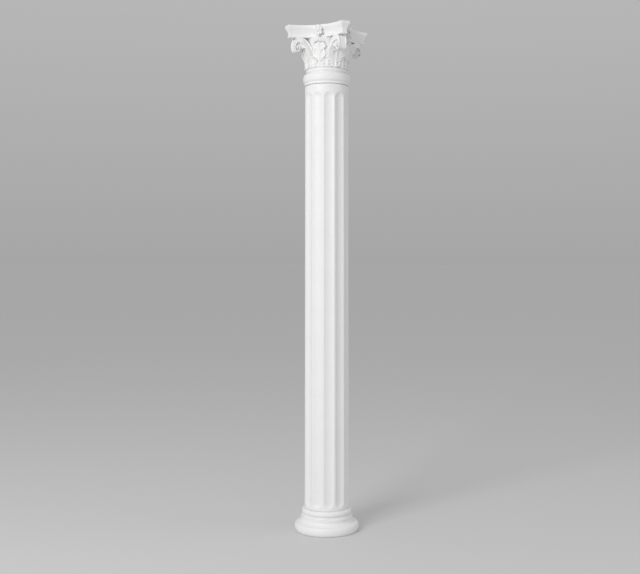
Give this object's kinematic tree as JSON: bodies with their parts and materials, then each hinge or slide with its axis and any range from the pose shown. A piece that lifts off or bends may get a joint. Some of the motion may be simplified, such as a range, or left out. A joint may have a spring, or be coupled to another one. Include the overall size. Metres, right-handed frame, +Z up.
{
  "type": "decorative column",
  "caption": "Round fluted classical column in moulded foam plastic: ringed base, tapering hollow shaft and a leafy capital with corner volutes and a concave-sided abacus.",
  "frame": {"origin": "on the floor, at the centre of the base", "axes": "+Z up along the column's axis, X and Y square to the sides of the abacus"},
  "size_m": [0.3376, 0.3376, 2.4976],
  "materials": {
    "white_plastic": "smooth primed white, matt to satin"
  },
  "bodies": {
    "root": {"base": "white_plastic", "shaft": "white_plastic", "capital": "white_plastic"}
  },
  "joints": []
}
